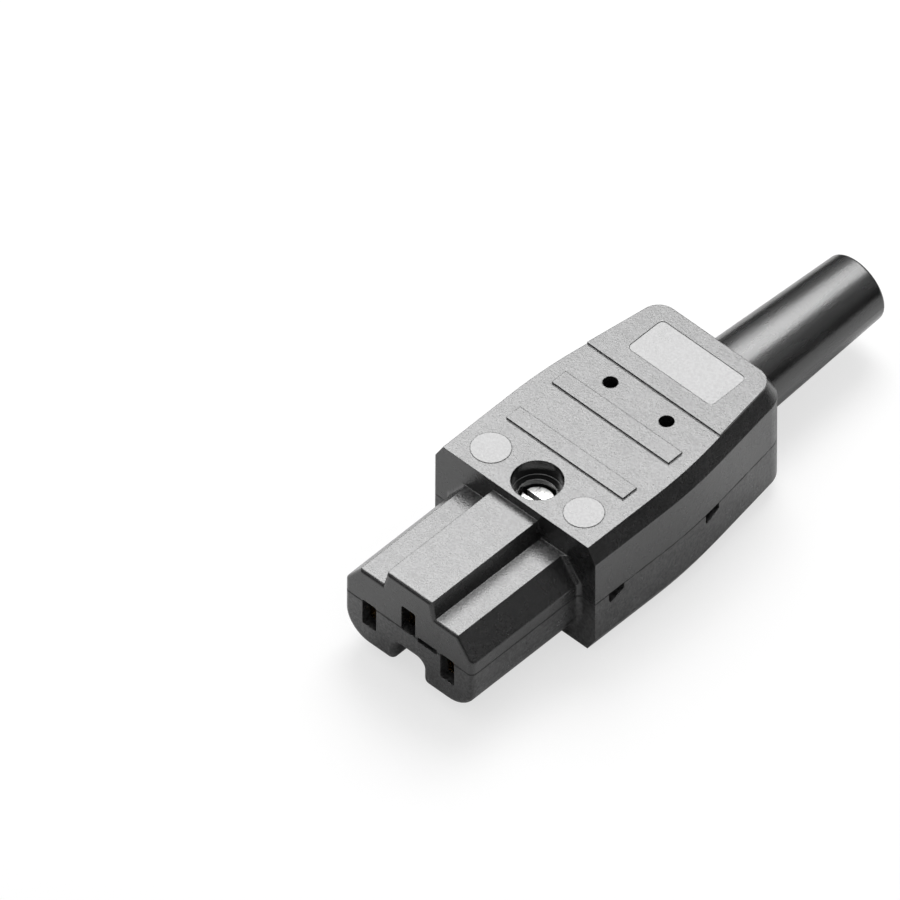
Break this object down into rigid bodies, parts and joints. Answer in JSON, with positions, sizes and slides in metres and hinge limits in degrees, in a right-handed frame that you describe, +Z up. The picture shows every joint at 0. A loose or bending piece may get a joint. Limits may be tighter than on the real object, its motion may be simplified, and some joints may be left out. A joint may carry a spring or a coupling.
{
  "type": "appliance connector",
  "caption": "Straight rewirable appliance connector with a stepped, keyed nose, a two-shell tapering body held by a recessed screw, and a bend sleeve for the cord.",
  "frame": {"origin": "middle of the engagement face, on the joint plane of the two shells", "axes": "+Y from the engagement face back along the cord sleeve, +Z up through the screw well, X across the line and neutral contacts"},
  "size_m": [0.0288, 0.0857, 0.0197],
  "materials": {
    "shell_plastic": "black satin moulded heat-resistant plastic",
    "sleeve_rubber": "smooth black rubber",
    "contact_brass": "rolled sheet",
    "terminal_brass": "drawn bar, machined",
    "plated_steel": "bright zinc plate",
    "clamp_plastic": "dark moulded plastic"
  },
  "bodies": {
    "root": {"upper_shell": "shell_plastic", "lower_shell": "shell_plastic", "bend_sleeve": "sleeve_rubber", "housing_screw": "plated_steel", "threaded_insert": "terminal_brass", "clamp_bar": "clamp_plastic", "clamp_screw_left": "plated_steel", "clamp_screw_right": "plated_steel", "line_contact": "contact_brass", "line_terminal_block": "terminal_brass", "line_clamping_plate": "plated_steel", "line_terminal_screw": "plated_steel", "neutral_contact": "contact_brass", "neutral_terminal_block": "terminal_brass", "neutral_clamping_plate": "plated_steel", "neutral_terminal_screw": "plated_steel", "earth_contact": "contact_brass", "earth_terminal_block": "terminal_brass", "earth_clamping_plate": "plated_steel", "earth_terminal_screw": "plated_steel"}
  },
  "joints": []
}
